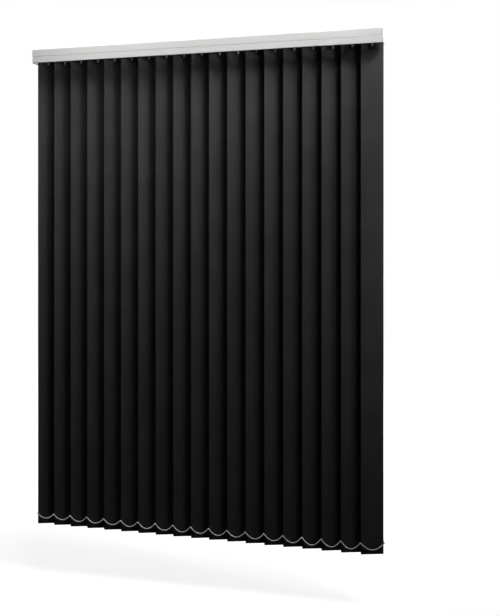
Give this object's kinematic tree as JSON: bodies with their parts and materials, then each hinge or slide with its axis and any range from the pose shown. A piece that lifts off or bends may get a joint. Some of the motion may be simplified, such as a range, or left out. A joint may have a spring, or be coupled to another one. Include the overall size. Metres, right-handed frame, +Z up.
{
  "type": "vertical blind",
  "caption": "Vertical blind of dark cloth slats that draw along a ceiling rail behind a plain fascia and turn together, joined at the foot by hanging chains.",
  "frame": {"origin": "on the ceiling face of the brackets, midway between the outer screws, above the middle slat's pivot", "axes": "+X along the rail toward the control end, where the slats stack; -Y into the room; +Z up"},
  "size_m": [1.4826, 0.0768, 2.028],
  "materials": {
    "slat_cloth": "black blackout cloth with a fine plain weave",
    "fascia_coat": "satin pale grey-white coat",
    "rail_aluminium": "satin white powder coat",
    "bracket_steel": "zinc-plated spring steel",
    "fixing_steel": "bright zinc-plated steel",
    "rod_aluminium": "plain drawn aluminium",
    "end_plastic": "white moulded plastic",
    "arm_plastic": "white moulded plastic",
    "mechanism_plastic": "natural acetal",
    "hook_plastic": "white moulded plastic, for the hooks, hangers and weights",
    "chain_plastic": "pale grey plastic beads"
  },
  "bodies": {
    "root": {"headrail": "rail_aluminium", "fascia": "fascia_coat", "fascia_return_left": "end_plastic", "fascia_return_right": "end_plastic", "bracket_1": "bracket_steel", "bracket_2": "bracket_steel", "bracket_3": "bracket_steel", "fascia_arm_1": "arm_plastic", "fascia_arm_2": "arm_plastic", "fascia_arm_3": "arm_plastic", "return_end": "end_plastic", "control_end": "end_plastic", "pulley_pins": "fixing_steel", "end_screws": "fixing_steel", "carrier_19": "mechanism_plastic"},
    "carrier_01": {"carrier_01": "mechanism_plastic"},
    "carrier_02": {"carrier_02": "mechanism_plastic"},
    "carrier_03": {"carrier_03": "mechanism_plastic"},
    "carrier_04": {"carrier_04": "mechanism_plastic"},
    "carrier_05": {"carrier_05": "mechanism_plastic"},
    "carrier_06": {"carrier_06": "mechanism_plastic"},
    "carrier_07": {"carrier_07": "mechanism_plastic"},
    "carrier_08": {"carrier_08": "mechanism_plastic"},
    "carrier_09": {"carrier_09": "mechanism_plastic"},
    "carrier_10": {"carrier_10": "mechanism_plastic"},
    "carrier_11": {"carrier_11": "mechanism_plastic"},
    "carrier_12": {"carrier_12": "mechanism_plastic"},
    "carrier_13": {"carrier_13": "mechanism_plastic"},
    "carrier_14": {"carrier_14": "mechanism_plastic"},
    "carrier_15": {"carrier_15": "mechanism_plastic"},
    "carrier_16": {"carrier_16": "mechanism_plastic"},
    "carrier_17": {"carrier_17": "mechanism_plastic"},
    "carrier_18": {"carrier_18": "mechanism_plastic"},
    "slat_01": {"slat_01": "slat_cloth"},
    "slat_02": {"slat_02": "slat_cloth"},
    "slat_03": {"slat_03": "slat_cloth"},
    "slat_04": {"slat_04": "slat_cloth"},
    "slat_05": {"slat_05": "slat_cloth"},
    "slat_06": {"slat_06": "slat_cloth"},
    "slat_07": {"slat_07": "slat_cloth"},
    "slat_08": {"slat_08": "slat_cloth"},
    "slat_09": {"slat_09": "slat_cloth"},
    "slat_10": {"slat_10": "slat_cloth"},
    "slat_11": {"slat_11": "slat_cloth"},
    "slat_12": {"slat_12": "slat_cloth"},
    "slat_13": {"slat_13": "slat_cloth"},
    "slat_14": {"slat_14": "slat_cloth"},
    "slat_15": {"slat_15": "slat_cloth"},
    "slat_16": {"slat_16": "slat_cloth"},
    "slat_17": {"slat_17": "slat_cloth"},
    "slat_18": {"slat_18": "slat_cloth"},
    "slat_19": {"slat_19": "slat_cloth", "chain_last_run": "chain_plastic"},
    "tilt_drive": {"tilt_rod": "rod_aluminium", "tilt_sprocket": "mechanism_plastic"},
    "return_pulley": {"return_pulley": "mechanism_plastic"},
    "cord_pulley": {"cord_pulley": "mechanism_plastic"},
    "front_chain": {"front_chain": "chain_plastic"},
    "back_chain": {"back_chain": "chain_plastic"}
  },
  "joints": [
    {"name": "draw_01", "type": "slide", "parent": "root", "child": "carrier_01", "axis": [1, 0, 0], "range_m": [0, 1.098], "deforming": ["front_chain", "back_chain"]},
    {"name": "draw_02", "type": "slide", "parent": "root", "child": "carrier_02", "axis": [1, 0, 0], "range_m": [0, 1.0371]},
    {"name": "draw_03", "type": "slide", "parent": "root", "child": "carrier_03", "axis": [1, 0, 0], "range_m": [0, 0.9761]},
    {"name": "draw_04", "type": "slide", "parent": "root", "child": "carrier_04", "axis": [1, 0, 0], "range_m": [0, 0.9151]},
    {"name": "draw_05", "type": "slide", "parent": "root", "child": "carrier_05", "axis": [1, 0, 0], "range_m": [0, 0.8541]},
    {"name": "draw_06", "type": "slide", "parent": "root", "child": "carrier_06", "axis": [1, 0, 0], "range_m": [0, 0.7931]},
    {"name": "draw_07", "type": "slide", "parent": "root", "child": "carrier_07", "axis": [1, 0, 0], "range_m": [0, 0.7321]},
    {"name": "draw_08", "type": "slide", "parent": "root", "child": "carrier_08", "axis": [1, 0, 0], "range_m": [0, 0.6711]},
    {"name": "draw_09", "type": "slide", "parent": "root", "child": "carrier_09", "axis": [1, 0, 0], "range_m": [0, 0.6101]},
    {"name": "draw_10", "type": "slide", "parent": "root", "child": "carrier_10", "axis": [1, 0, 0], "range_m": [0, 0.5491]},
    {"name": "draw_11", "type": "slide", "parent": "root", "child": "carrier_11", "axis": [1, 0, 0], "range_m": [0, 0.4881]},
    {"name": "draw_12", "type": "slide", "parent": "root", "child": "carrier_12", "axis": [1, 0, 0], "range_m": [0, 0.4271]},
    {"name": "draw_13", "type": "slide", "parent": "root", "child": "carrier_13", "axis": [1, 0, 0], "range_m": [0, 0.3661]},
    {"name": "draw_14", "type": "slide", "parent": "root", "child": "carrier_14", "axis": [1, 0, 0], "range_m": [0, 0.3051]},
    {"name": "draw_15", "type": "slide", "parent": "root", "child": "carrier_15", "axis": [1, 0, 0], "range_m": [0, 0.2441]},
    {"name": "draw_16", "type": "slide", "parent": "root", "child": "carrier_16", "axis": [1, 0, 0], "range_m": [0, 0.1831]},
    {"name": "draw_17", "type": "slide", "parent": "root", "child": "carrier_17", "axis": [1, 0, 0], "range_m": [0, 0.1221]},
    {"name": "draw_18", "type": "slide", "parent": "root", "child": "carrier_18", "axis": [1, 0, 0], "range_m": [0, 0.0611]},
    {"name": "tilt_01", "type": "hinge", "parent": "carrier_01", "child": "slat_01", "pos_m": [-0.693, 0, 0], "axis": [0, 0, 1], "range_deg": [-3, 136]},
    {"name": "tilt_02", "type": "hinge", "parent": "carrier_02", "child": "slat_02", "pos_m": [-0.616, 0, 0], "axis": [0, 0, 1], "range_deg": [-3.01, 136.01]},
    {"name": "tilt_03", "type": "hinge", "parent": "carrier_03", "child": "slat_03", "pos_m": [-0.539, 0, 0], "axis": [0, 0, 1], "range_deg": [-3.01, 136.01]},
    {"name": "tilt_04", "type": "hinge", "parent": "carrier_04", "child": "slat_04", "pos_m": [-0.462, 0, 0], "axis": [0, 0, 1], "range_deg": [-3.01, 136.01]},
    {"name": "tilt_05", "type": "hinge", "parent": "carrier_05", "child": "slat_05", "pos_m": [-0.385, 0, 0], "axis": [0, 0, 1], "range_deg": [-3.01, 136.01]},
    {"name": "tilt_06", "type": "hinge", "parent": "carrier_06", "child": "slat_06", "pos_m": [-0.308, 0, 0], "axis": [0, 0, 1], "range_deg": [-3.01, 136.01]},
    {"name": "tilt_07", "type": "hinge", "parent": "carrier_07", "child": "slat_07", "pos_m": [-0.231, 0, 0], "axis": [0, 0, 1], "range_deg": [-3.01, 136.01]},
    {"name": "tilt_08", "type": "hinge", "parent": "carrier_08", "child": "slat_08", "pos_m": [-0.154, 0, 0], "axis": [0, 0, 1], "range_deg": [-3.01, 136.01]},
    {"name": "tilt_09", "type": "hinge", "parent": "carrier_09", "child": "slat_09", "pos_m": [-0.077, 0, 0], "axis": [0, 0, 1], "range_deg": [-3.01, 136.01]},
    {"name": "tilt_10", "type": "hinge", "parent": "carrier_10", "child": "slat_10", "pos_m": [0, 0, 0], "axis": [0, 0, 1], "range_deg": [-3.01, 136.01]},
    {"name": "tilt_11", "type": "hinge", "parent": "carrier_11", "child": "slat_11", "pos_m": [0.077, 0, 0], "axis": [0, 0, 1], "range_deg": [-3.01, 136.01]},
    {"name": "tilt_12", "type": "hinge", "parent": "carrier_12", "child": "slat_12", "pos_m": [0.154, 0, 0], "axis": [0, 0, 1], "range_deg": [-3.01, 136.01]},
    {"name": "tilt_13", "type": "hinge", "parent": "carrier_13", "child": "slat_13", "pos_m": [0.231, 0, 0], "axis": [0, 0, 1], "range_deg": [-3.01, 136.01]},
    {"name": "tilt_14", "type": "hinge", "parent": "carrier_14", "child": "slat_14", "pos_m": [0.308, 0, 0], "axis": [0, 0, 1], "range_deg": [-3.01, 136.01]},
    {"name": "tilt_15", "type": "hinge", "parent": "carrier_15", "child": "slat_15", "pos_m": [0.385, 0, 0], "axis": [0, 0, 1], "range_deg": [-3.01, 136.01]},
    {"name": "tilt_16", "type": "hinge", "parent": "carrier_16", "child": "slat_16", "pos_m": [0.462, 0, 0], "axis": [0, 0, 1], "range_deg": [-3.01, 136.01]},
    {"name": "tilt_17", "type": "hinge", "parent": "carrier_17", "child": "slat_17", "pos_m": [0.539, 0, 0], "axis": [0, 0, 1], "range_deg": [-3.01, 136.01]},
    {"name": "tilt_18", "type": "hinge", "parent": "carrier_18", "child": "slat_18", "pos_m": [0.616, 0, 0], "axis": [0, 0, 1], "range_deg": [-3.01, 136.01]},
    {"name": "tilt_19", "type": "hinge", "parent": "root", "child": "slat_19", "pos_m": [0.693, 0, 0], "axis": [0, 0, 1], "range_deg": [-3.01, 136.01]},
    {"name": "tilt_drive_turn", "type": "hinge", "parent": "root", "child": "tilt_drive", "pos_m": [0, 0.0088, -0.015], "axis": [1, 0, 0], "continuous": true},
    {"name": "cord_pulley_turn", "type": "hinge", "parent": "root", "child": "cord_pulley", "pos_m": [0.726, -0.011, -0.014], "axis": [0, 1, 0], "continuous": true},
    {"name": "return_pulley_turn", "type": "hinge", "parent": "root", "child": "return_pulley", "pos_m": [-0.7254, -0.011, -0.013], "axis": [0, 0, 1], "continuous": true},
    {"name": "front_chain_shift", "type": "hinge", "parent": "slat_19", "child": "front_chain", "pos_m": [0.64904, -0.01649, 0], "axis": [0, 0, 1], "range_deg": [-136.01, 3.01]},
    {"name": "back_chain_shift", "type": "hinge", "parent": "slat_19", "child": "back_chain", "pos_m": [0.73677, 0.01706, 0], "axis": [0, 0, 1], "range_deg": [-136.01, 3.01]}
  ],
  "couplings": [
    {"joint": "draw_02", "follows": "draw_01", "ratio": 0.94444},
    {"joint": "draw_03", "follows": "draw_01", "ratio": 0.88889},
    {"joint": "draw_04", "follows": "draw_01", "ratio": 0.83333},
    {"joint": "draw_05", "follows": "draw_01", "ratio": 0.77778},
    {"joint": "draw_06", "follows": "draw_01", "ratio": 0.72222},
    {"joint": "draw_07", "follows": "draw_01", "ratio": 0.66667},
    {"joint": "draw_08", "follows": "draw_01", "ratio": 0.61111},
    {"joint": "draw_09", "follows": "draw_01", "ratio": 0.55556},
    {"joint": "draw_10", "follows": "draw_01", "ratio": 0.5},
    {"joint": "draw_11", "follows": "draw_01", "ratio": 0.44444},
    {"joint": "draw_12", "follows": "draw_01", "ratio": 0.38889},
    {"joint": "draw_13", "follows": "draw_01", "ratio": 0.33333},
    {"joint": "draw_14", "follows": "draw_01", "ratio": 0.27778},
    {"joint": "draw_15", "follows": "draw_01", "ratio": 0.22222},
    {"joint": "draw_16", "follows": "draw_01", "ratio": 0.16667},
    {"joint": "draw_17", "follows": "draw_01", "ratio": 0.11111},
    {"joint": "draw_18", "follows": "draw_01", "ratio": 0.055556},
    {"joint": "tilt_02", "follows": "tilt_01", "ratio": 1},
    {"joint": "tilt_03", "follows": "tilt_01", "ratio": 1},
    {"joint": "tilt_04", "follows": "tilt_01", "ratio": 1},
    {"joint": "tilt_05", "follows": "tilt_01", "ratio": 1},
    {"joint": "tilt_06", "follows": "tilt_01", "ratio": 1},
    {"joint": "tilt_07", "follows": "tilt_01", "ratio": 1},
    {"joint": "tilt_08", "follows": "tilt_01", "ratio": 1},
    {"joint": "tilt_09", "follows": "tilt_01", "ratio": 1},
    {"joint": "tilt_10", "follows": "tilt_01", "ratio": 1},
    {"joint": "tilt_11", "follows": "tilt_01", "ratio": 1},
    {"joint": "tilt_12", "follows": "tilt_01", "ratio": 1},
    {"joint": "tilt_13", "follows": "tilt_01", "ratio": 1},
    {"joint": "tilt_14", "follows": "tilt_01", "ratio": 1},
    {"joint": "tilt_15", "follows": "tilt_01", "ratio": 1},
    {"joint": "tilt_16", "follows": "tilt_01", "ratio": 1},
    {"joint": "tilt_17", "follows": "tilt_01", "ratio": 1},
    {"joint": "tilt_18", "follows": "tilt_01", "ratio": 1},
    {"joint": "tilt_19", "follows": "tilt_01", "ratio": 1},
    {"joint": "tilt_drive_turn", "follows": "tilt_01", "ratio": 6},
    {"joint": "cord_pulley_turn", "follows": "draw_01", "rad_per_m": 263.16},
    {"joint": "return_pulley_turn", "follows": "draw_01", "rad_per_m": 294.12},
    {"joint": "front_chain_shift", "follows": "tilt_01", "ratio": -1},
    {"joint": "back_chain_shift", "follows": "tilt_01", "ratio": -1}
  ]
}
